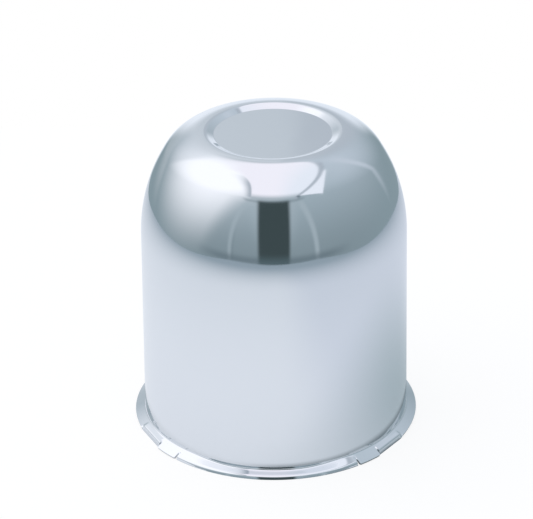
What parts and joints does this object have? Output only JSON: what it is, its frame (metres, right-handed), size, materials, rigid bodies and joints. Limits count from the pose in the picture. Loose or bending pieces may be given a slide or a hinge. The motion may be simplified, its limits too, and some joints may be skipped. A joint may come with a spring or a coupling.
{
  "type": "axle hub cover",
  "caption": "Deep-drawn chromed steel cover for an axle hub: a cup with a domed crown, a flat disc recessed in its top, and a narrow rim at its open end.",
  "frame": {"origin": "on the cover's axis, in the plane that its rim stands on", "axes": "+Z along the axis, from the open end to the crown; -Y is the front, midway between two tabs"},
  "size_m": [0.116, 0.116, 0.1255],
  "materials": {
    "chrome": "bright chrome plate on polished drawn steel"
  },
  "bodies": {
    "root": {"hub_cover": "chrome"}
  },
  "joints": []
}
